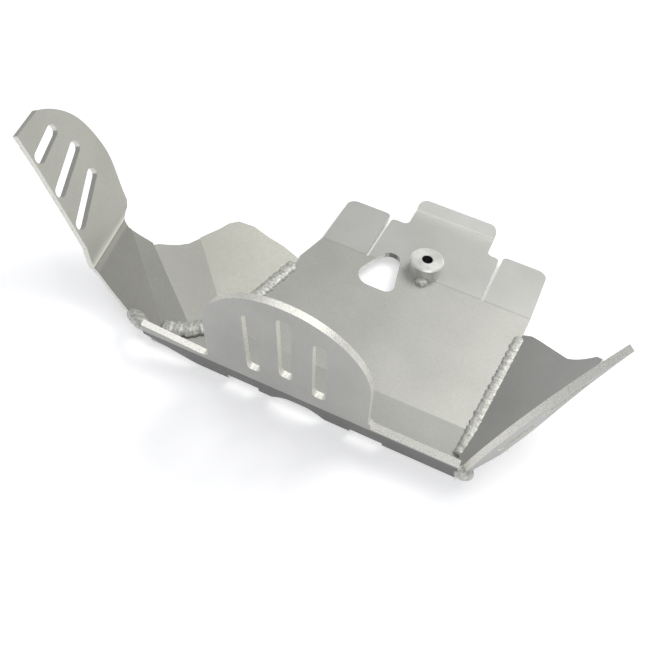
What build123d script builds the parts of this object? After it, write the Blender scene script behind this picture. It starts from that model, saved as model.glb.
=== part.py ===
from build123d import *
import os
from math import atan2, cos, degrees, radians, sin, tan

# Motorcycle skid plate: folded aluminium sheet, welded, lying on its belly.
# Modelled from x = 0 between the rear slits, y = 0 at the rear fold, z = 0 on top of the floor panel.
# The rear of the motorcycle is towards +y, the slotted front flange towards -y.

# sheet
SHEET = 4.0
INNER_BEND = 3.0
OUTER_BEND = INNER_BEND + SHEET

# rear tabs and tongue
REAR_FOLD_Y = -1.0
REAR_DROP = 5.0
REAR_MID_X = 1.2
REAR_HALF_WIDTH = 75.6
TAB_END_Y = 50.3
TAB_OUTER_ROUND = 7.0
TAB_INNER_ROUND = 3.5
SLIT_X = 42.0
SLIT_WIDTH = 2.4
TONGUE_SHOULDER_Y = 46.3
NECK_MID_X = 2.7
NECK_HALF_WIDTH = 30.0
NECK_ROUND = 4.0
SHOULDER_ROUND = 3.0
LIP_FOLD_Y = 64.5
LIP_RISE = 55.0
LIP_LONG = 9.4
LIP_CORNER = 6.0
REAR_MARGIN_Y = 80.0

# front strip, rim and flange
STRIP_FOLD_Y = -101.7
STRIP_DROP = 9.0
FLANGE_LEAN = 10.0
FLANGE_FACE_Y = -129.8
RIM_LEFT_X = -133.0
RIM_LEFT_BACK_Y = -121.0
RIM_RIGHT_X = 69.5
RIM_RIGHT_BACK_Y = -131.0
RIM_RIGHT_Z = 11.5
RIM_LEFT_Z = 17.8
RIM_EAR_Z = 13.8
RIM_BEVEL = 0.8
FRONT_MARGIN_Y = -165.0

# slotted front ear, measured up the outer face of the flange
EAR_X = -36.5
EAR_FOOT_HALF = 50.9
EAR_HALF = 50.3
EAR_SIDE_Z = 52.0
EAR_TOP_Z = 105.0
EAR_FOOT_ROUND = 4.0
SLOT_WIDTH = 8.15
SLOT_PITCH = 20.4
SLOT_ROUND = 3.0
SIDE_SLOT_Z = (22.8, 82.8)
MID_SLOT_Z = (30.4, 93.3)

# drain openings in the front bend, and the bevel at its left end
BEND_OPENINGS = ((-65.5, 0.4), (14.3, -0.8))
BEND_OPENING_LONG = 20.5
BEND_OPENING_BACK_Y = -128.0
ARCH_X = -29.5
ARCH_LONG = 37.0
ARCH_TOP_Z = 3.2
ARCH_FOOT_Z = -5.0
BEVEL_FOOT = (-92.0, -5.0)
BEVEL_TOP = (-134.0, 7.0)

# drain hole in the floor
DRAIN_HOLE = ((-45.0, -25.2), (-22.4, 27.3), (-11.8, -25.7))
DRAIN_HOLE_ROUNDS = (10.0, 7.0, 6.0)

# boss
BOSS_X = -0.6
BOSS_Y = 6.4
BOSS_RADIUS = 11.4
BOSS_TOP_Z = 10.6
BORE_RADIUS = 3.5
BORE_CHAMFER = 0.6
RIM_CHAMFER = 1.0

# weld beads
BEAD_RADIUS = 3.8
BEAD_LIFT = 1.0
FRONT_BEAD_RADIUS = 4.6
FRONT_BEAD_LIFT = 2.0
BLOB_ROUND = 3.0
LEFT_BLOB_RADIUS = 8.2
RIGHT_BLOB_RADIUS = 6.2
TALL = 400.0

# plan corner of the floor panel where the left tab's side ends
PANEL_CORNER = (-80.6, -24.0)

# feet and tops of the folds of the left wing, on its inner face
SEAM_REAR = Vector(-79.9, -29.7, 0)
FOOT_1 = Vector(-97.1, -98.5, 0)
FOOT_2 = Vector(-112.5, -113.5, -1.9)
FOOT_3 = Vector(-129.5, -119.4, -2.8)
TOP_1 = Vector(-137.4, -58.4, 17.8)
TOP_2 = Vector(-161.0, -76.8, 16.2)
TOP_3 = Vector(-167.6, -84.7, 13.7)
CURL_FRONT = Vector(-183.4, -111.7, 16.3)
CURL_REAR = Vector(-188.0, -67.9, 22.3)
CURL_ANGLE = 45.0
CURL_RADIUS = 12.0

# right wing: the side panel's seam and the fold of its slotted edge
RIGHT_REAR = Vector(76.0, -16.0, 0)
RIGHT_FRONT = Vector(67.7, -121.0, 0)
RIGHT_STRIP_END = Vector(68.0, -118.5, -1.0)
RIGHT_FOOT = Vector(70.0, -131.0, 3.0)
RIGHT_FOLD_TOP = Vector(106.0, -96.8, 36.6)
RIGHT_EAR_RUN = Vector(0.389, 0.233, 0.891)
RIGHT_EAR_NORMAL = Vector(-0.756, 0.633, 0.164)


def facet_plane(foot, run_to, other):
    """Plane on the inner face of a facet: x runs from foot to run_to, z points inwards and up."""
    run = run_to - foot
    normal = run.cross(other - foot).normalized()
    if normal.Z < 0:
        normal = normal * -1
    return Plane(origin=foot, x_dir=run, z_dir=normal)


def mitre(foot, top, plane_1, plane_2):
    """Plane that halves the fold between two facets."""
    run = (top - foot).normalized()
    middle = plane_1.z_dir + plane_2.z_dir
    return Plane(origin=foot, x_dir=run, z_dir=run.cross(middle))


# floor panel, tabs, tongue and front flange: one folded sheet
lip_foot_z = (REAR_FOLD_Y - LIP_FOLD_Y) * tan(radians(REAR_DROP))
lip_top_y = LIP_FOLD_Y + LIP_LONG * cos(radians(LIP_RISE))
lip_top_z = lip_foot_z + LIP_LONG * sin(radians(LIP_RISE))
drop = tan(radians(STRIP_DROP))
lean = tan(radians(FLANGE_LEAN))
flange_foot_z = (FLANGE_FACE_Y - STRIP_FOLD_Y) * drop / (1 + lean * drop)
flange_foot_y = FLANGE_FACE_Y - flange_foot_z * lean
flange_top_z = EAR_TOP_Z + OUTER_BEND
flange_top_y = FLANGE_FACE_Y - flange_top_z * lean
flange_outer_y = FLANGE_FACE_Y - SHEET / cos(radians(FLANGE_LEAN))
flange_plane = Plane(
    origin=(0, flange_outer_y, 0),
    x_dir=(1, 0, 0),
    z_dir=(0, -cos(radians(FLANGE_LEAN)), -sin(radians(FLANGE_LEAN))),
)

with BuildSketch() as outline:
    with BuildLine():
        Polyline(
            (REAR_MID_X - REAR_HALF_WIDTH, REAR_MARGIN_Y),
            (REAR_MID_X - REAR_HALF_WIDTH, REAR_FOLD_Y),
            PANEL_CORNER,
            (SEAM_REAR.X, SEAM_REAR.Y),
            (FOOT_1.X, FOOT_1.Y),
            (FOOT_2.X, FOOT_2.Y),
            (FOOT_3.X, FOOT_3.Y),
            (RIM_LEFT_X, RIM_LEFT_BACK_Y),
            (RIM_LEFT_X, FRONT_MARGIN_Y),
            (RIM_RIGHT_X, FRONT_MARGIN_Y),
            (RIM_RIGHT_X, RIM_RIGHT_BACK_Y),
            (RIGHT_FRONT.X, RIGHT_FRONT.Y),
            (RIGHT_REAR.X, RIGHT_REAR.Y),
            (REAR_MID_X + REAR_HALF_WIDTH, REAR_FOLD_Y),
            (REAR_MID_X + REAR_HALF_WIDTH, REAR_MARGIN_Y),
            close=True,
        )
    make_face()

with BuildPart() as main_plate:
    with BuildSketch(Plane.YZ.offset(RIM_LEFT_X - SHEET)) as profile:
        with BuildLine() as inner_line:
            FilletPolyline(
                (lip_top_y, lip_top_z),
                (LIP_FOLD_Y, lip_foot_z),
                (REAR_FOLD_Y, 0),
                (STRIP_FOLD_Y, 0),
                (flange_foot_y, flange_foot_z),
                (flange_top_y, flange_top_z),
                radius=INNER_BEND,
            )
            offset(amount=SHEET, side=Side.LEFT)
        make_face()
    extrude(amount=RIM_RIGHT_X + REAR_HALF_WIDTH - RIM_LEFT_X)
    with BuildSketch(Plane.XY.offset(-TALL / 2)):
        add(outline.sketch)
    extrude(amount=TALL, mode=Mode.INTERSECT)

    # the tabs end short of the tongue
    with BuildSketch(Plane.XY.offset(-TALL / 2)):
        for side in (-1, 1):
            with Locations((REAR_MID_X + side * (SLIT_X + TALL / 4), TAB_END_Y + TALL / 2)):
                Rectangle(TALL / 2, TALL)
    extrude(amount=TALL, mode=Mode.SUBTRACT)

    # slits beside the tongue, and the tongue's narrower neck
    with BuildSketch(Plane.XY.offset(-TALL / 2)):
        for side in (-1, 1):
            with Locations((REAR_MID_X + side * SLIT_X, REAR_FOLD_Y + TALL / 2)):
                Rectangle(SLIT_WIDTH, TALL)
            slit_x = REAR_MID_X + side * SLIT_X
            neck_x = NECK_MID_X + side * NECK_HALF_WIDTH
            with Locations(((slit_x + neck_x) / 2, TONGUE_SHOULDER_Y + TALL / 2)):
                Rectangle(abs(slit_x - neck_x), TALL)
    extrude(amount=TALL, mode=Mode.SUBTRACT)

    # rounded corners of the tabs, the tongue's shoulders and its lip
    upright = main_plate.edges().filter_by(Axis.Z)
    tab_corners = upright.filter_by_position(Axis.Y, TAB_END_Y - 0.1, TAB_END_Y + 0.1).sort_by(Axis.X)
    tab_outer = [tab_corners[0], tab_corners[-1]]
    tab_inner = [tab_corners[1], tab_corners[2]]
    fillet(tab_inner, radius=TAB_INNER_ROUND)
    fillet(tab_outer, radius=TAB_OUTER_ROUND)
    upright = main_plate.edges().filter_by(Axis.Z)
    shoulders = upright.filter_by_position(Axis.Y, TONGUE_SHOULDER_Y - 0.1, TONGUE_SHOULDER_Y + 0.1)
    shoulders = shoulders.sort_by(Axis.X)
    fillet([shoulders[0], shoulders[3]], radius=SHOULDER_ROUND)
    upright = main_plate.edges().filter_by(Axis.Z)
    neck = upright.filter_by_position(Axis.Y, TONGUE_SHOULDER_Y - 0.1, TONGUE_SHOULDER_Y + 0.1)
    neck = [corner for corner in neck if abs(abs(corner.center().X - NECK_MID_X) - NECK_HALF_WIDTH) < 0.1]
    fillet(neck, radius=NECK_ROUND)
    across_lip = Axis((0, 0, 0), (0, -sin(radians(LIP_RISE)), cos(radians(LIP_RISE))))
    fillet(main_plate.edges().filter_by(across_lip), radius=LIP_CORNER)

    # the flange is cut down to a low rim beside the ear
    with BuildSketch(flange_plane) as flange_trim:
        with BuildLine():
            Polyline(
                (RIM_LEFT_X - SHEET, RIM_LEFT_Z),
                (EAR_X - EAR_FOOT_HALF, RIM_EAR_Z),
                (EAR_X + EAR_FOOT_HALF, RIM_RIGHT_Z + SHEET),
                (RIM_RIGHT_X + SHEET, RIM_RIGHT_Z + SHEET),
                (RIM_RIGHT_X + SHEET, TALL),
                (RIM_LEFT_X - SHEET, TALL),
                close=True,
            )
        make_face()
        with Locations((EAR_X, EAR_SIDE_Z)):
            Ellipse(EAR_HALF, EAR_TOP_Z - EAR_SIDE_Z, mode=Mode.SUBTRACT)
        with BuildLine():
            Polyline(
                (EAR_X - EAR_FOOT_HALF, RIM_EAR_Z),
                (EAR_X - EAR_HALF, EAR_SIDE_Z),
                (EAR_X + EAR_HALF, EAR_SIDE_Z),
                (EAR_X + EAR_FOOT_HALF, RIM_RIGHT_Z + SHEET),
                close=True,
            )
        make_face(mode=Mode.SUBTRACT)
        foot_reach = EAR_FOOT_HALF + 1
        ear_foot = flange_trim.vertices().filter_by_position(Axis.X, EAR_X - foot_reach, EAR_X + foot_reach)
        fillet(ear_foot.sort_by(Axis.Y)[0:2], radius=EAR_FOOT_ROUND)
    extrude(amount=TALL / 16, both=True, mode=Mode.SUBTRACT)

    # the right part of the rim is bevelled towards the front
    rim_outer_y = flange_outer_y - RIM_RIGHT_Z * lean
    with BuildSketch(Plane.YZ.offset(EAR_X + EAR_FOOT_HALF + EAR_FOOT_ROUND / 2)):
        with BuildLine():
            Polyline(
                (rim_outer_y - OUTER_BEND, RIM_RIGHT_Z - OUTER_BEND * RIM_BEVEL),
                (rim_outer_y + OUTER_BEND, RIM_RIGHT_Z + OUTER_BEND * RIM_BEVEL),
                (rim_outer_y - OUTER_BEND, RIM_RIGHT_Z + 4 * OUTER_BEND),
                close=True,
            )
        make_face()
    extrude(amount=RIM_RIGHT_X - EAR_X, mode=Mode.SUBTRACT)

    # three slots in the ear
    with BuildSketch(flange_plane):
        for across, reach in ((-SLOT_PITCH, SIDE_SLOT_Z), (0, MID_SLOT_Z), (SLOT_PITCH, SIDE_SLOT_Z)):
            with Locations((EAR_X + across, (reach[0] + reach[1]) / 2)):
                RectangleRounded(SLOT_WIDTH, reach[1] - reach[0], SLOT_ROUND)
    extrude(amount=OUTER_BEND, both=True, mode=Mode.SUBTRACT)

    # three drain openings through the front bend, and the bevel at its left end
    with BuildSketch(Plane.XZ.offset(-BEND_OPENING_BACK_Y)):
        for opening_x, opening_top in BEND_OPENINGS:
            with Locations((opening_x, opening_top - TALL / 2)):
                Rectangle(BEND_OPENING_LONG, TALL)
        with BuildLine():
            ThreePointArc(
                (ARCH_X - ARCH_LONG / 2, ARCH_FOOT_Z),
                (ARCH_X, ARCH_TOP_Z),
                (ARCH_X + ARCH_LONG / 2, ARCH_FOOT_Z),
            )
            Line((ARCH_X + ARCH_LONG / 2, ARCH_FOOT_Z), (ARCH_X + ARCH_LONG / 2, -TALL))
            Line((ARCH_X + ARCH_LONG / 2, -TALL), (ARCH_X - ARCH_LONG / 2, -TALL))
            Line((ARCH_X - ARCH_LONG / 2, -TALL), (ARCH_X - ARCH_LONG / 2, ARCH_FOOT_Z))
        make_face()
        with BuildLine():
            Polyline(BEVEL_FOOT, BEVEL_TOP, (BEVEL_TOP[0], -TALL), (BEVEL_FOOT[0], -TALL), close=True)
        make_face()
    extrude(amount=TALL / 8, mode=Mode.SUBTRACT)

    # rounded drain hole in the floor
    with BuildSketch(Plane.XY.offset(-TALL / 2)) as drain_hole:
        with BuildLine():
            Polyline(*DRAIN_HOLE, close=True)
        make_face()
        for corner, radius in zip(DRAIN_HOLE, DRAIN_HOLE_ROUNDS):
            fillet(drain_hole.vertices().sort_by_distance((*corner, 0))[0], radius=radius)
    extrude(amount=TALL, mode=Mode.SUBTRACT)

    # seat for the boss
    with Locations((BOSS_X, BOSS_Y, 0)):
        Cylinder(BOSS_RADIUS, TALL / 4, mode=Mode.SUBTRACT)

main_plate.part.label = "main_plate"

# turned boss with a through hole
with BuildPart() as boss:
    with BuildSketch(Plane.XY.offset(-SHEET)):
        with Locations((BOSS_X, BOSS_Y)):
            Circle(BOSS_RADIUS)
            Circle(BORE_RADIUS, mode=Mode.SUBTRACT)
    extrude(amount=BOSS_TOP_Z + SHEET)
    top_rings = boss.edges().filter_by(GeomType.CIRCLE).group_by(Axis.Z)[-1].sort_by(SortBy.RADIUS)
    chamfer(top_rings[-1], length=RIM_CHAMFER)
    chamfer(top_rings[0], length=BORE_CHAMFER)
boss.part.label = "boss"

# everything under the belly and the front strip, which the wings are trimmed to
with BuildPart() as belly_cut:
    with BuildSketch(Plane.YZ.offset(-TALL)):
        with BuildLine():
            Polyline(
                (TALL, -SHEET),
                (STRIP_FOLD_Y, -SHEET),
                (STRIP_FOLD_Y - TALL, -SHEET - TALL * drop),
                (STRIP_FOLD_Y - TALL, -TALL),
                (TALL, -TALL),
                close=True,
            )
        make_face()
    extrude(amount=2 * TALL)

# left wing: five facets that meet at folds, each drawn on its inner face
plane_a = facet_plane(SEAM_REAR, FOOT_1, TOP_1)
plane_b = facet_plane(FOOT_1, TOP_1, FOOT_2)
plane_c = facet_plane(FOOT_2, TOP_2, FOOT_3)
plane_d = facet_plane(FOOT_3, TOP_3, CURL_FRONT)
curl_run = (CURL_REAR - CURL_FRONT).normalized()
curl_across = curl_run.cross(plane_d.z_dir)
curl_normal = plane_d.z_dir * cos(radians(CURL_ANGLE)) + curl_across * sin(radians(CURL_ANGLE))
plane_e = Plane(origin=CURL_FRONT, x_dir=curl_run, z_dir=curl_normal)
mitre_ab = mitre(FOOT_1, TOP_1, plane_a, plane_b)
mitre_bc = mitre(FOOT_2, TOP_2, plane_b, plane_c)
mitre_cd = mitre(FOOT_3, TOP_3, plane_c, plane_d)
mitre_de = mitre(CURL_FRONT, CURL_REAR, plane_d, plane_e)

# each outline runs a little past its folds, and is cut back to the mitres
FACET_A = (
    (-2.3, 6), (-2.3, -2), (-1, -13.6), (2.6, -25), (5, -37), (10.8, -45.9),
    (17.6, -48.9), (26.5, -49.9), (34.2, -51.5), (44.4, -53.4), (75, 0), (75, 6),
)
FACET_B = (
    (-8, -3), (60.5, -3), (60, 0.1), (58.3, 7.9), (58.9, 14.4),
    (60.6, 20.5), (62.9, 26.5), (63.4, 34), (-8, 26),
)
FACET_C = ((-8, -3), (63.2, -3), (64.7, -0.5), (68.1, 1.6), (74.8, 6), (80, 9), (85, 14), (10, 20), (-8, 9))
FACET_D = (
    (-3, -3), (68.4, -3), (72.8, 1.2), (77.5, 2.5), (81.5, 2.2), (86, 3),
    (54, 33.5), (49.5, 31.4), (44, 28.4), (31.8, 24.2), (16.6, 18.3), (-3, 6),
)

RIGHT_SLOT_WIDTH = 4.0
RIGHT_SLOT_ENDS = (((30, 3), (54, 3)), ((68, -1), (96, -2.2)))
EAR_SLOT_ENDS = (((41, 74.9), (22.9, 71.6)), ((46.8, 57), (18.4, 48.3)), ((44.3, 37), (14.3, 24.5)))

facets = []
for points, plane, cuts in (
    (FACET_A, plane_a, ((mitre_ab, Keep.TOP),)),
    (FACET_B, plane_b, ((mitre_ab, Keep.BOTTOM), (mitre_bc, Keep.TOP))),
    (FACET_C, plane_c, ((mitre_bc, Keep.BOTTOM), (mitre_cd, Keep.TOP))),
):
    with BuildPart() as facet:
        with BuildSketch(plane):
            with BuildLine():
                Polyline(*points, close=True)
            make_face()
        extrude(amount=-SHEET)
        for cut, kept in cuts:
            split(bisect_by=cut, keep=kept)
    facets.append(facet.part)

# the last two facets are one sheet, rolled up at a wide bend into the slotted ear
curl_plane = Plane(origin=CURL_FRONT, x_dir=curl_across, z_dir=curl_run)
with BuildPart() as left_ear:
    with BuildSketch(curl_plane.offset(-TALL / 4)):
        with BuildLine():
            FilletPolyline(
                (TALL / 2, 0),
                (0, 0),
                (-TALL / 2 * cos(radians(CURL_ANGLE)), -TALL / 2 * sin(radians(CURL_ANGLE))),
                radius=CURL_RADIUS,
            )
            offset(amount=SHEET, side=Side.RIGHT)
        make_face()
    extrude(amount=TALL / 2)

with BuildPart() as lower_outline:
    with BuildSketch(plane_d.offset(-TALL / 8)):
        with BuildLine():
            Polyline(*FACET_D, close=True)
        make_face()
    extrude(amount=TALL / 4)
    split(bisect_by=mitre_cd, keep=Keep.BOTTOM)
    split(bisect_by=mitre_de, keep=Keep.TOP)

with BuildPart() as ear_outline:
    with BuildSketch(plane_e.offset(-TALL / 8)):
        with BuildLine():
            Polyline((0, 0), (-4, -12), (37, -12), (43.3, 0.3), (46.5, 1.6), (50.3, 2.4), (53.8, 5.2))
            Spline((53.8, 5.2), (58.6, 18.6), (64.5, 34.8), (65.4, 50), (62, 68), (53, 81.5), (42, 90))
            Polyline((42, 90), (19.9, 90), (16.7, 67.7), (10.3, 33.4), (5.9, 11.2), (0, 0))
        make_face()
        for start, end in EAR_SLOT_ENDS:
            slot_run = Vector(*start) - Vector(*end)
            slot_turn = degrees(atan2(slot_run.Y, slot_run.X))
            with Locations(((start[0] + end[0]) / 2, (start[1] + end[1]) / 2)):
                SlotCenterToCenter(slot_run.length, SLOT_WIDTH, rotation=slot_turn, mode=Mode.SUBTRACT)
    extrude(amount=TALL / 4)
    split(bisect_by=mitre_de, keep=Keep.BOTTOM)

with BuildPart() as trimmed_ear:
    add(lower_outline.part)
    add(ear_outline.part)
    add(left_ear.part, mode=Mode.INTERSECT)

with BuildPart() as left_wing:
    for facet_part in facets:
        add(facet_part)
    add(trimmed_ear.part)
    # the wing butts against the edge of the floor panel
    with BuildSketch(Plane.XY.offset(-TALL / 2)):
        add(outline.sketch)
    extrude(amount=TALL, mode=Mode.SUBTRACT)
    add(belly_cut.part, mode=Mode.SUBTRACT)
left_wing.part.label = "left_wing"

# right wing: the side panel and the slotted edge folded forward from it
panel_plane = Plane(
    origin=RIGHT_REAR,
    x_dir=RIGHT_FRONT - RIGHT_REAR,
    z_dir=(RIGHT_FRONT - RIGHT_REAR).cross(RIGHT_FOLD_TOP - RIGHT_REAR).normalized(),
)
right_ear_plane = Plane(origin=RIGHT_FOOT, x_dir=RIGHT_EAR_RUN, z_dir=RIGHT_EAR_NORMAL)
right_mitre = mitre(RIGHT_FOOT, RIGHT_FOLD_TOP, panel_plane, right_ear_plane)

with BuildPart() as side_panel:
    with BuildSketch(panel_plane):
        with BuildLine():
            Polyline((0, -8), (0, 0), (2.9, 8.2), (8.1, 15.4), (23.7, 35.3), (29.4, 42.7))
            Spline((29.4, 42.7), (31.1, 47.9), (31.8, 54.6), (31, 62.6))
            Polyline((31, 62.6), (34, 67), (40, 66), (50, 57.5), (61, 49.5), (74, 40), (100, 27))
            Polyline((100, 27), (124.4, -2), (122, -8), (0, -8))
        make_face()
    extrude(amount=-SHEET)
    split(bisect_by=right_mitre, keep=Keep.BOTTOM)

with BuildPart() as right_ear:
    with BuildSketch(right_ear_plane):
        with BuildLine():
            Polyline((0, 0), (-3, 3), (18, 15), (22, 12.7))
            Spline((22, 12.7), (36, 12.5), (52, 10.6), (74, 5.7), (94, 2.1), (114, 0.3), (127, 0))
            ThreePointArc((127, 0), (63, -9), (0, 0))
        make_face()
        for start, end in RIGHT_SLOT_ENDS:
            slot_run = Vector(*start) - Vector(*end)
            slot_turn = degrees(atan2(slot_run.Y, slot_run.X))
            with Locations(((start[0] + end[0]) / 2, (start[1] + end[1]) / 2)):
                SlotCenterToCenter(slot_run.length, RIGHT_SLOT_WIDTH, rotation=slot_turn, mode=Mode.SUBTRACT)
    extrude(amount=-SHEET)
    split(bisect_by=right_mitre, keep=Keep.TOP)

with BuildPart() as right_wing:
    add(side_panel.part)
    add(right_ear.part)
    with BuildSketch(Plane.XY.offset(-TALL / 2)):
        add(outline.sketch)
    extrude(amount=TALL, mode=Mode.SUBTRACT)
    add(belly_cut.part, mode=Mode.SUBTRACT)
right_wing.part.label = "right_wing"

# weld beads: round runs along the seams, cut to the sheets they lie on
left_bead_start = SEAM_REAR + (FOOT_1 - SEAM_REAR) * 0.06
right_bead_start = RIGHT_REAR + (RIGHT_FRONT - RIGHT_REAR) * 0.04
right_bead_turn = RIGHT_REAR + (RIGHT_FRONT - RIGHT_REAR) * 0.82
BEADS = (
    ("left_seam_weld", BEAD_RADIUS, BEAD_LIFT, (left_bead_start, FOOT_1)),
    ("left_front_weld", FRONT_BEAD_RADIUS, FRONT_BEAD_LIFT, (FOOT_1, FOOT_2, FOOT_3)),
    ("right_seam_weld", BEAD_RADIUS, BEAD_LIFT, (right_bead_start, right_bead_turn, RIGHT_STRIP_END)),
)
left_blob_centre = Vector(RIM_LEFT_X - 6.8, flange_outer_y + 4.9, 8.5)
right_blob_centre = Vector(RIM_RIGHT_X + 4.5, flange_outer_y + 2.9, 0.0)
BLOBS = (
    ("left_corner_weld", LEFT_BLOB_RADIUS, 14.0, left_blob_centre),
    ("right_corner_weld", RIGHT_BLOB_RADIUS, 12.0, right_blob_centre),
    ("boss_weld", 4.2, 7.0, Vector(1.5, -6.0, 0.0)),
)
welds = []
laid_before = []
for bead_name, bead_radius, bead_lift, bead_points in BEADS:
    with BuildPart() as bead:
        for start, end in zip(bead_points[:-1], bead_points[1:]):
            run = end - start
            with BuildSketch(Plane(origin=start + Vector(0, 0, bead_lift), z_dir=run)):
                Circle(bead_radius)
            extrude(amount=run.length)
        for corner in bead_points:
            with Locations(corner + Vector(0, 0, bead_lift)):
                Sphere(bead_radius)
        for neighbour in (main_plate.part, left_wing.part, right_wing.part, *laid_before):
            add(neighbour, mode=Mode.SUBTRACT)
    bead.part.label = bead_name
    laid_before.append(bead.part)
    welds.append(bead.part)
for blob_name, blob_radius, blob_height, blob_centre in BLOBS:
    with BuildPart() as blob:
        with Locations(blob_centre):
            Cylinder(blob_radius, blob_height)
        fillet(blob.edges().filter_by(GeomType.CIRCLE), radius=BLOB_ROUND)
        for neighbour in (left_wing.part, right_wing.part, main_plate.part, boss.part, *laid_before):
            add(neighbour, mode=Mode.SUBTRACT)
    blob.part.label = blob_name
    welds.append(blob.part)

# every piece is handed over with the origin on the axis of the boss, level with the belly
to_boss = Location((-BOSS_X, -BOSS_Y, SHEET))
os.makedirs("parts", exist_ok=True)
for piece in (main_plate.part, left_wing.part, right_wing.part, boss.part, *welds):
    export_step(piece.moved(to_boss), "parts/" + piece.label + ".step")
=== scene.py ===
import bpy
from mathutils import Matrix, Vector


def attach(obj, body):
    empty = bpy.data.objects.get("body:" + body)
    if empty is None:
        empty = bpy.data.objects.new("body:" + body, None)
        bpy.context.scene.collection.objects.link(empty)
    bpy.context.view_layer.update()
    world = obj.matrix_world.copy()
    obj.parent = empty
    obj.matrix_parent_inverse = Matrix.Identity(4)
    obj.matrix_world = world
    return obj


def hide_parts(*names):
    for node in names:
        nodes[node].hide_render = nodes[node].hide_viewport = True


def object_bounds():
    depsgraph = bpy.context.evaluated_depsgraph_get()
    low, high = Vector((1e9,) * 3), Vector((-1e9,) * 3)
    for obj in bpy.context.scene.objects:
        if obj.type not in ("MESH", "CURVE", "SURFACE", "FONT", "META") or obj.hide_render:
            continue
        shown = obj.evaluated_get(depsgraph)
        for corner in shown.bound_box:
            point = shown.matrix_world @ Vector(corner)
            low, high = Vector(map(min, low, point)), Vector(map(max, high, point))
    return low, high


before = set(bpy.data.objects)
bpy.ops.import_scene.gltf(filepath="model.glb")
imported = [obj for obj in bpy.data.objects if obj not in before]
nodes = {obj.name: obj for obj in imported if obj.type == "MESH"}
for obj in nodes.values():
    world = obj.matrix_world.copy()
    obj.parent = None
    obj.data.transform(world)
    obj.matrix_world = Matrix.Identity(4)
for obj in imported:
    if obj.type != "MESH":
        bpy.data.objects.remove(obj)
cad_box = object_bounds()
MM = 0.001

# camera, in millimetres from the boss
CAMERA_PLACE = (63.5, -396.1, 416.6)
CAMERA_RIGHT = (0.9049, 0.4158, 0.0910)
CAMERA_UP = (-0.3767, 0.6827, 0.6262)
CAMERA_BACK = (0.1982, -0.6009, 0.7743)
LENS = 46.68
FILM_WIDTH = 36.0
NEAREST_SEEN = 0.01

# sheet metal
PLATE_COLOUR = (0.46, 0.46, 0.435)
# the left wing is painted a little lighter and the right wing a little darker than the plate, as painted
# light and shade
LEFT_LIT_COLOUR = (0.49, 0.49, 0.455)
RIGHT_SHADED_COLOUR = (0.45, 0.45, 0.435)
SHEET_METALNESS = 0.55
SHEET_ROUGHNESS = 0.4
STREAK_ROUGHNESS = 0.14
GRAIN_STRENGTH = 0.12
GRAIN_DEPTH = 0.0002
GRAIN_SHARE = 0.16
SMUDGE_FINENESS = 22.0
GRAIN_FINENESS = 1400.0
STREAK_FINENESS = 900.0
STREAK_STRETCH = (1.0, 1.0, 0.06)
SAWN_FINENESS = 2200.0
SMUDGE_DARK = 0.93
SMUDGE_LIGHT = 1.06
GRAIN_TONES = ((0.3, (0.3, 0.3, 0.3)), (0.7, (0.72, 0.72, 0.7)))
# sawn edge tones: partly the cut metal's own brighter colour, partly painted highlight
SAWN_AND_HIGHLIGHT_TONES = ((0.36, (0.6, 0.59, 0.54)), (0.5, (0.86, 0.85, 0.79)), (0.66, (0.96, 0.95, 0.9)))
RIM_UPWARD = 0.6
FACE_LIMIT = 0.62
RIGHT_FACE_LIMIT = 0.85

# turned boss
BOSS_METALNESS = 0.6
BOSS_ROUGHNESS = 0.36
RING_STRENGTH = 0.15
RING_DEPTH = 0.0001
RING_CLOSENESS = 18000.0
BOSS_SMUDGE_FINENESS = 240.0
BOSS_TONES = ((0.3, (0.6, 0.6, 0.58)), (0.7, (0.72, 0.72, 0.69)))
# upward-sloping chamfer faces are painted near white as a highlight
CHAMFER_SLOPE = (0.5, 0.9)
CHAMFER_HIGHLIGHT = (0.95, 0.95, 0.92)
# inside the bore, painted near black as shade
BORE_REACH = 0.0037
BORE_SHADE = (0.05, 0.05, 0.05)

# weld metal
WELD_METALNESS = 0.5
WELD_ROUGHNESS = 0.5
LUMP_STRENGTH = 0.5
LUMP_DEPTH = 0.0006
LUMP_FINENESS = 520.0
SPECK_FINENESS = 1900.0
SPECK_SHARE = 0.25
LUMP_TONES = ((0.32, (0.4, 0.4, 0.375)), (0.5, (0.56, 0.56, 0.525)), (0.7, (0.74, 0.74, 0.7)))
SPECK_TONES = ((0.3, (0.2, 0.2, 0.2)), (0.7, (0.8, 0.8, 0.8)))
DROP_LONG = 1.7
UNEVEN = 0.05
FUSE_SIZE = 0.0005

# floor and light
FLOOR_WIDE = 12.0
FLOOR_GAP = 0.0002
FLOOR_COLOUR = (0.82, 0.82, 0.84, 1)
FLOOR_GLOW = 0.42
WHITE = (1, 1, 1, 1)
ROOM_COLOUR = (0.97, 0.98, 1.0, 1)
ROOM_STRENGTH = 0.4
AIM = (-0.05, -0.05, 0.03)
LAMPS = (
    ("rear_softbox", (0.55, 0.9, 1.5), 1.0, 16.0, (1.0, 0.99, 0.95)),
    ("top_softbox", (-0.5, 0.1, 1.6), 0.8, 4.0, (1.0, 1.0, 1.0)),
    ("front_fill", (0.9, -1.4, 0.9), 1.2, 7.5, (0.97, 0.98, 1.0)),
)

# the ways the sheets' faces look
FLOOR_FACE = (0, 0, 1)
FRONT_EAR_FACE = (0, -0.985, -0.174)
REAR_FACET = (0.332, -0.083, 0.940)
MIDDLE_FACETS = (0.125, -0.322, 0.939)
LEFT_EAR_FACE = (0.879, -0.012, 0.476)
ROLLED_BEND = (0.62, -0.08, 0.78)
PANEL_FACE = (-0.709, 0.055, 0.703)
RIGHT_EAR_FACE = (-0.756, 0.633, 0.164)

# the rim of the front flange: it lies ahead of this y and above this z
RIM = (-0.1365, 0.0145)
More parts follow.
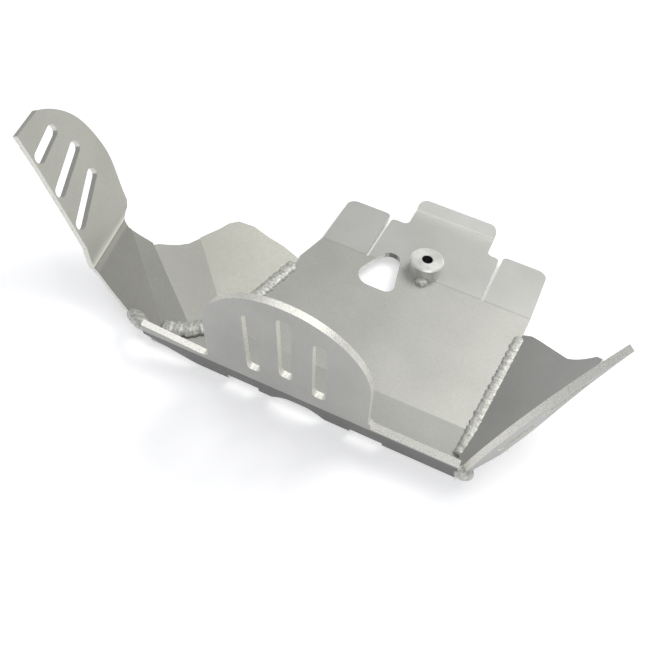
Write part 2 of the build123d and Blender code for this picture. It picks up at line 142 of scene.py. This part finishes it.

# painted light and shade by face: which way a face looks, where it lies, and its tone
PLATE_PAINTED_LIGHT = (
    # front strip, painted darker as shade
    ((("normal", "Z", 0.9, 0.993), ("place", "Y", -0.15, -0.105)), (0.82, 0.83, 0.82)),
    # low faces that look forward, painted dark as shade
    ((("normal", "Y", -1.1, -0.9), ("place", "Z", -0.01, 0.014)), (0.4, 0.4, 0.41)),
    # tabs and tongue, painted lighter as light falling on them
    ((("normal", "Z", 0.9, 0.9985), ("place", "Y", -0.006, 0.07)), (1.2, 1.2, 1.22)),
    # back walls of the openings in the front bend, painted brighter than white to stand in for the lit
    # floor seen through them
    (
        (("normal", "Y", -1.1, -0.996), ("place", "Z", -0.01, 0.003), ("place", "Y", -0.138, -0.13)),
        (2.8, 2.8, 2.7),
    ),
    # lip, painted near white as a highlight
    ((("normal", "Y", -1.0, -0.5), ("place", "Y", 0.05, 0.08)), (2.1, 2.1, 2.1)),
)
LEFT_PAINTED_LIGHT = (
    # facet along the seam, painted darker as shade
    (
        (
            ("normal", "Y", -0.2, 0.1), ("normal", "Z", 0.9, 1.0),
            ("place", "X", -0.142, 0.0), ("place", "Y", -0.11, 0.0),
        ),
        (0.7, 0.7, 0.69),
    ),
    # second and third facets, painted darker as shade
    ((("normal", "Y", -0.33, -0.2), ("normal", "Z", 0.9, 1.0)), (0.86, 0.86, 0.85)),
    ((("normal", "Y", -0.45, -0.33), ("normal", "Z", 0.9, 1.0)), (0.7, 0.7, 0.69)),
    # facet at the foot of the ear, and its end by the rim, painted dark as shade
    (
        (("normal", "X", 0.2, 0.62), ("normal", "Y", -0.2, 0.2), ("place", "X", -0.24, -0.142)),
        (0.4, 0.4, 0.395),
    ),
    (
        (("normal", "X", 0.2, 0.62), ("place", "X", -0.142, -0.128), ("place", "Y", -0.14, -0.11)),
        (0.4, 0.4, 0.395),
    ),
    # ear, painted lighter as light falling on it
    ((("normal", "X", 0.62, 1.0), ("place", "X", -0.26, -0.142)), (1.1, 1.1, 1.07)),
)

# from the middle of the rear fold, on top of the sheet, to the boss
TO_BOSS = Vector((0.6, -6.4, 4.0))
# weld beads: piece, solid it replaces, corners, width, height and pool spacing, in millimetres
BEADS = (
    (
        "right_bead", "right_seam_weld",
        ((75.8, -20.6, 0.2), (69.4, -102.1, 0.2), (68.4, -118.5, -1.6)), 8.6, 2.0, 1.5,
    ),
    (
        "left_bead", "left_seam_weld",
        ((-80.9, -33.8, 0.2), (-97.1, -98.5, 0.2)), 8.6, 2.0, 1.5,
    ),
    (
        "left_front_bead", "left_front_weld",
        ((-97.1, -98.5, 0.8), (-112.5, -113.5, -1.1), (-128.5, -119.8, -1.6)), 11.0, 2.8, 1.6,
    ),
    (
        "left_corner_lump", "left_corner_weld",
        ((-147, -124.5, 6.0), (-134.0, -132.4, 11.0)), 9.0, 4.4, 3.0,
    ),
    (
        "right_corner_lump", "right_corner_weld",
        ((70.6, -133.0, 4.4), (76.0, -128.6, -2.4)), 8.4, 4.2, 3.0,
    ),
)
WELD_NODES = (
    "boss_weld", "left_corner_weld", "right_corner_weld",
    "left_seam_weld", "left_front_weld", "right_seam_weld",
)


def place_camera():
    """Looks down on the plate from the front right, as in the photograph."""
    camera_data = bpy.data.cameras.new("camera")
    camera_data.lens = LENS
    camera_data.sensor_width = FILM_WIDTH
    camera_data.clip_start = NEAREST_SEEN
    camera = bpy.data.objects.new("camera", camera_data)
    bpy.context.scene.collection.objects.link(camera)
    turn = Matrix((CAMERA_RIGHT, CAMERA_UP, CAMERA_BACK)).transposed().to_4x4()
    camera.matrix_world = Matrix.Translation(Vector(CAMERA_PLACE) * MM) @ turn
    bpy.context.scene.camera = camera
    bpy.context.scene.view_settings.view_transform = "Standard"


def new_material(name):
    material = bpy.data.materials.new(name)
    material.use_nodes = True
    material.node_tree.nodes.clear()
    return material, material.node_tree.nodes, material.node_tree.links


def maths(nodes_, links, kind, first, second=None):
    """One sum; first and second are numbers or sockets."""
    step = nodes_.new("ShaderNodeMath")
    step.operation = kind
    for slot, value in ((0, first), (1, second)):
        if value is None:
            continue
        if isinstance(value, (int, float)):
            step.inputs[slot].default_value = value
        else:
            links.new(value, step.inputs[slot])
    return step.outputs[0]


def noise(nodes_, links, place, fineness, detail, stretch=(1, 1, 1)):
    """Noise whose grains are about one over fineness metres across."""
    mapping = nodes_.new("ShaderNodeMapping")
    mapping.inputs["Scale"].default_value = stretch
    links.new(place, mapping.inputs["Vector"])
    texture = nodes_.new("ShaderNodeTexNoise")
    texture.inputs["Scale"].default_value = fineness
    texture.inputs["Detail"].default_value = detail
    links.new(mapping.outputs["Vector"], texture.inputs["Vector"])
    return texture.outputs["Fac"]


def ramp(nodes_, links, source, stops):
    """Turns a value into colours; stops are (position, colour) pairs."""
    band = nodes_.new("ShaderNodeValToRGB")
    band.color_ramp.elements[0].position = stops[0][0]
    band.color_ramp.elements[0].color = (*stops[0][1], 1)
    band.color_ramp.elements[1].position = stops[-1][0]
    band.color_ramp.elements[1].color = (*stops[-1][1], 1)
    for position, colour in stops[1:-1]:
        band.color_ramp.elements.new(position).color = (*colour, 1)
    links.new(source, band.inputs["Fac"])
    return band.outputs["Color"]


def blend_colour(nodes_, links, factor, first, second, kind="MIX"):
    """Mixes two colours; each of the three values may be a socket."""
    mix = nodes_.new("ShaderNodeMix")
    mix.data_type = "RGBA"
    mix.blend_type = kind
    for socket, value in ((0, factor), (6, first), (7, second)):
        if isinstance(value, (int, float)):
            mix.inputs[socket].default_value = value
        elif isinstance(value, tuple):
            mix.inputs[socket].default_value = (*value, 1)
        else:
            links.new(value, mix.inputs[socket])
    return mix.outputs[2]


def along(nodes_, links, normal, direction):
    """How far the surface faces along a direction, either way."""
    dot = nodes_.new("ShaderNodeVectorMath")
    dot.operation = "DOT_PRODUCT"
    links.new(normal, dot.inputs[0])
    dot.inputs[1].default_value = Vector(direction).normalized()
    return maths(nodes_, links, "ABSOLUTE", dot.outputs["Value"])


def between(nodes_, links, source, low, high):
    """One where the value lies between low and high, nought elsewhere."""
    above = maths(nodes_, links, "GREATER_THAN", source, low)
    below = maths(nodes_, links, "LESS_THAN", source, high)
    return maths(nodes_, links, "MULTIPLY", above, below)


def in_parts(nodes_, links, vector):
    split = nodes_.new("ShaderNodeSeparateXYZ")
    links.new(vector, split.inputs["Vector"])
    return split.outputs


def metal_surface(nodes_, links, colour, metalness, roughness, relief, strength, depth):
    """Joins colour, roughness and relief into the finished surface."""
    shader = nodes_.new("ShaderNodeBsdfPrincipled")
    links.new(colour, shader.inputs["Base Color"])
    shader.inputs["Metallic"].default_value = metalness
    if isinstance(roughness, float):
        shader.inputs["Roughness"].default_value = roughness
    else:
        links.new(roughness, shader.inputs["Roughness"])
    bump = nodes_.new("ShaderNodeBump")
    bump.inputs["Strength"].default_value = strength
    bump.inputs["Distance"].default_value = depth
    links.new(relief, bump.inputs["Height"])
    links.new(bump.outputs["Normal"], shader.inputs["Normal"])
    output = nodes_.new("ShaderNodeOutputMaterial")
    links.new(shader.outputs["BSDF"], output.inputs["Surface"])


def satin_sheet(name, face_colour, faces, rim=None, painted_light=(), limit=FACE_LIMIT):
    """Raw satin sheet: fine grain, faint smudges, sawn edges brighter partly as painted highlight, and
    painted light and shade by face.

    faces are the directions the sheet's faces look in; what looks in none of them is a sawn edge.
    rim is (highest y, lowest z) of a sawn edge that faces the same way as the sheet."""
    material, nodes_, links = new_material(name)
    place = nodes_.new("ShaderNodeTexCoord").outputs["Object"]
    normal = nodes_.new("ShaderNodeNewGeometry").outputs["Normal"]
    placed = in_parts(nodes_, links, place)
    turned = in_parts(nodes_, links, normal)

    facing = None
    for direction in faces:
        step = along(nodes_, links, normal, direction)
        facing = step if facing is None else maths(nodes_, links, "MAXIMUM", facing, step)
    sawn = maths(nodes_, links, "LESS_THAN", facing, limit)
    # the rim's top, which looks up, gets the same bright edge colour as painted highlight
    if rim:
        on_top = maths(nodes_, links, "GREATER_THAN", turned["Z"], RIM_UPWARD)
        ahead = maths(nodes_, links, "LESS_THAN", placed["Y"], rim[0])
        above = maths(nodes_, links, "GREATER_THAN", placed["Z"], rim[1])
        flat_rim = maths(nodes_, links, "MULTIPLY", on_top, ahead)
        flat_rim = maths(nodes_, links, "MULTIPLY", flat_rim, above)
        sawn = maths(nodes_, links, "MAXIMUM", sawn, flat_rim)

    smudges = noise(nodes_, links, place, SMUDGE_FINENESS, 4.0)
    grain = noise(nodes_, links, place, GRAIN_FINENESS, 2.0)
    streaks = noise(nodes_, links, place, STREAK_FINENESS, 2.0, STREAK_STRETCH)
    chips = noise(nodes_, links, place, SAWN_FINENESS, 3.0)
    dark = tuple(channel * SMUDGE_DARK for channel in face_colour)
    light = tuple(min(1.0, channel * SMUDGE_LIGHT) for channel in face_colour)
    face = ramp(nodes_, links, smudges, ((0.3, dark), (0.5, face_colour), (0.72, light)))
    # painted light and shade: where each mask holds, the face colour is multiplied by its tone
    for ranges, light_tone in painted_light:
        painted_light_mask = 1.0
        for kind, axis, low, high in ranges:
            source = placed[axis] if kind == "place" else turned[axis]
            inside = between(nodes_, links, source, low, high)
            painted_light_mask = maths(nodes_, links, "MULTIPLY", painted_light_mask, inside)
        painted_light_face = blend_colour(nodes_, links, 1.0, face, light_tone, "MULTIPLY")
        face = blend_colour(nodes_, links, painted_light_mask, face, painted_light_face)
    grained = ramp(nodes_, links, grain, GRAIN_TONES)
    face = blend_colour(nodes_, links, GRAIN_SHARE, face, grained, "OVERLAY")
    # bright edge colour on sawn faces: the metal's own colour, partly painted highlight
    edge = ramp(nodes_, links, chips, SAWN_AND_HIGHLIGHT_TONES)
    colour = blend_colour(nodes_, links, sawn, face, edge)

    rough = maths(nodes_, links, "MULTIPLY_ADD", streaks, STREAK_ROUGHNESS)
    rough.node.inputs[2].default_value = SHEET_ROUGHNESS
    metal_surface(nodes_, links, colour, SHEET_METALNESS, rough, grain, GRAIN_STRENGTH, GRAIN_DEPTH)
    return material


def turned_metal():
    """The lathe-turned boss: fine rings round its axis, chamfers painted with a highlight, bore painted
    dark as shade.
    """
    material, nodes_, links = new_material("turned_boss")
    place = nodes_.new("ShaderNodeTexCoord").outputs["Object"]
    normal = nodes_.new("ShaderNodeNewGeometry").outputs["Normal"]
    placed = in_parts(nodes_, links, place)
    turned = in_parts(nodes_, links, normal)
    x_squared = maths(nodes_, links, "POWER", placed["X"], 2.0)
    y_squared = maths(nodes_, links, "POWER", placed["Y"], 2.0)
    across = maths(nodes_, links, "SQRT", maths(nodes_, links, "ADD", x_squared, y_squared))
    spread = maths(nodes_, links, "ADD", across, placed["Z"])
    rings = maths(nodes_, links, "SINE", maths(nodes_, links, "MULTIPLY", spread, RING_CLOSENESS))
    smudges = noise(nodes_, links, place, BOSS_SMUDGE_FINENESS, 3.0)
    colour = ramp(nodes_, links, smudges, BOSS_TONES)
    # chamfer faces sloping up painted near white as a highlight
    chamfer_highlight = between(nodes_, links, turned["Z"], *CHAMFER_SLOPE)
    colour = blend_colour(nodes_, links, chamfer_highlight, colour, CHAMFER_HIGHLIGHT)
    # inside the bore painted near black as shade
    bore_shade = maths(nodes_, links, "LESS_THAN", across, BORE_REACH)
    colour = blend_colour(nodes_, links, bore_shade, colour, BORE_SHADE)
    metal_surface(nodes_, links, colour, BOSS_METALNESS, BOSS_ROUGHNESS, rings, RING_STRENGTH, RING_DEPTH)
    return material


def weld_metal():
    """Grainy weld bead, darker in its hollows."""
    material, nodes_, links = new_material("weld_metal")
    place = nodes_.new("ShaderNodeTexCoord").outputs["Object"]
    lumps = noise(nodes_, links, place, LUMP_FINENESS, 4.0)
    specks = noise(nodes_, links, place, SPECK_FINENESS, 2.0)
    colour = ramp(nodes_, links, lumps, LUMP_TONES)
    specked = ramp(nodes_, links, specks, SPECK_TONES)
    colour = blend_colour(nodes_, links, SPECK_SHARE, colour, specked, "OVERLAY")
    metal_surface(nodes_, links, colour, WELD_METALNESS, WELD_ROUGHNESS, lumps, LUMP_STRENGTH, LUMP_DEPTH)
    return material


def dress(node, material):
    for slot in node.material_slots:
        slot.material = material


def lay_drop(centre, heading, size):
    """One pool of weld metal: a ball flattened and laid along the seam."""
    bpy.ops.object.select_all(action="DESELECT")
    bpy.ops.mesh.primitive_uv_sphere_add(segments=20, ring_count=12, radius=1.0, location=centre)
    drop = bpy.context.active_object
    drop.rotation_mode = "QUATERNION"
    drop.rotation_quaternion = heading
    drop.scale = size
    bpy.ops.object.transform_apply(location=True, rotation=True, scale=True)
    return drop


def rippled_bead(name, replaced, stations, width, height, step):
    """A bead laid pool by pool: flat drops that overlap along the seam."""
    drops = []
    laid = 0
    for start, end in zip(stations[:-1], stations[1:]):
        run = end - start
        count = max(2, round(run.length / step))
        heading = run.to_track_quat("X", "Z")
        for index in range(count):
            sway = UNEVEN * width * ((laid * 7) % 5 - 2) / 2
            swell = 1.0 + UNEVEN * ((laid * 3) % 4 - 1.5)
            centre = start + run * (index + 0.5) / count + heading @ Vector((0, sway, 0))
            drops.append(lay_drop(centre, heading, (step * DROP_LONG, width / 2 * swell, height * swell)))
            laid += 1
    bpy.ops.object.select_all(action="DESELECT")
    for drop in drops:
        drop.select_set(True)
    bpy.context.view_layer.objects.active = drops[0]
    bpy.ops.object.join()
    bead = bpy.context.active_object
    bead.name = name
    bead.data.name = name
    remesh = bead.modifiers.new("fuse", "REMESH")
    remesh.mode = "VOXEL"
    remesh.voxel_size = FUSE_SIZE
    bpy.ops.object.modifier_apply(modifier="fuse")
    bpy.ops.object.shade_smooth()
    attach(bead, "root")
    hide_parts(replaced)
    return bead


def lay_floor(level):
    """A white floor that shows as white and keeps the plate's shadow."""
    bpy.ops.object.select_all(action="DESELECT")
    bpy.ops.mesh.primitive_plane_add(size=FLOOR_WIDE, location=(0, 0, level))
    floor = bpy.context.active_object
    floor.name = "floor"
    material, nodes_, links = new_material("white_floor")
    ray = nodes_.new("ShaderNodeLightPath").outputs
    plain = nodes_.new("ShaderNodeBsdfDiffuse")
    plain.inputs["Color"].default_value = FLOOR_COLOUR
    glow = nodes_.new("ShaderNodeEmission")
    glow.inputs["Color"].default_value = WHITE
    mirrored = maths(nodes_, links, "MAXIMUM", ray["Is Glossy Ray"], ray["Is Transmission Ray"])
    seen = maths(nodes_, links, "MAXIMUM", ray["Is Camera Ray"], mirrored)
    links.new(maths(nodes_, links, "MULTIPLY", seen, FLOOR_GLOW), glow.inputs["Strength"])
    both = nodes_.new("ShaderNodeAddShader")
    links.new(plain.outputs["BSDF"], both.inputs[0])
    links.new(glow.outputs["Emission"], both.inputs[1])
    output = nodes_.new("ShaderNodeOutputMaterial")
    links.new(both.outputs["Shader"], output.inputs["Surface"])
    floor.data.materials.append(material)


def light_studio():
    """A pale room seen as white, and three soft lamps aimed at the plate."""
    world = bpy.data.worlds.new("studio")
    bpy.context.scene.world = world
    world.use_nodes = True
    nodes_, links = world.node_tree.nodes, world.node_tree.links
    nodes_.clear()
    ray = nodes_.new("ShaderNodeLightPath")
    room = nodes_.new("ShaderNodeBackground")
    room.inputs["Color"].default_value = ROOM_COLOUR
    room.inputs["Strength"].default_value = ROOM_STRENGTH
    white = nodes_.new("ShaderNodeBackground")
    white.inputs["Color"].default_value = WHITE
    white.inputs["Strength"].default_value = 1.0
    choose = nodes_.new("ShaderNodeMixShader")
    links.new(ray.outputs["Is Camera Ray"], choose.inputs["Fac"])
    links.new(room.outputs["Background"], choose.inputs[1])
    links.new(white.outputs["Background"], choose.inputs[2])
    output = nodes_.new("ShaderNodeOutputWorld")
    links.new(choose.outputs["Shader"], output.inputs["Surface"])
    for name, spot, size, power, colour in LAMPS:
        lamp_data = bpy.data.lights.new(name, "AREA")
        lamp_data.size = size
        lamp_data.energy = power
        lamp_data.color = colour
        lamp = bpy.data.objects.new(name, lamp_data)
        bpy.context.scene.collection.objects.link(lamp)
        lamp.location = spot
        lamp.rotation_euler = (Vector(AIM) - Vector(spot)).to_track_quat("-Z", "Y").to_euler()


place_camera()

plate = satin_sheet("satin_plate", PLATE_COLOUR, (FLOOR_FACE, FRONT_EAR_FACE), RIM, PLATE_PAINTED_LIGHT)
left_faces = (REAR_FACET, MIDDLE_FACETS, LEFT_EAR_FACE, ROLLED_BEND)
left = satin_sheet("satin_left_wing", LEFT_LIT_COLOUR, left_faces, painted_light=LEFT_PAINTED_LIGHT)
right_faces = (PANEL_FACE, RIGHT_EAR_FACE)
right = satin_sheet("satin_right_wing", RIGHT_SHADED_COLOUR, right_faces, limit=RIGHT_FACE_LIMIT)
bead_metal = weld_metal()
dress(nodes["main_plate"], plate)
dress(nodes["left_wing"], left)
dress(nodes["right_wing"], right)
dress(nodes["boss"], turned_metal())
for weld_node in WELD_NODES:
    dress(nodes[weld_node], bead_metal)

for bead_name, bead_node, corners, bead_width, bead_height, pool in BEADS:
    stations = [(Vector(corner) + TO_BOSS) * MM for corner in corners]
    bead_piece = rippled_bead(bead_name, bead_node, stations, bead_width * MM, bead_height * MM, pool * MM)
    bead_piece.data.materials.append(bead_metal)

lay_floor(cad_box[0][2] - FLOOR_GAP)
light_studio()
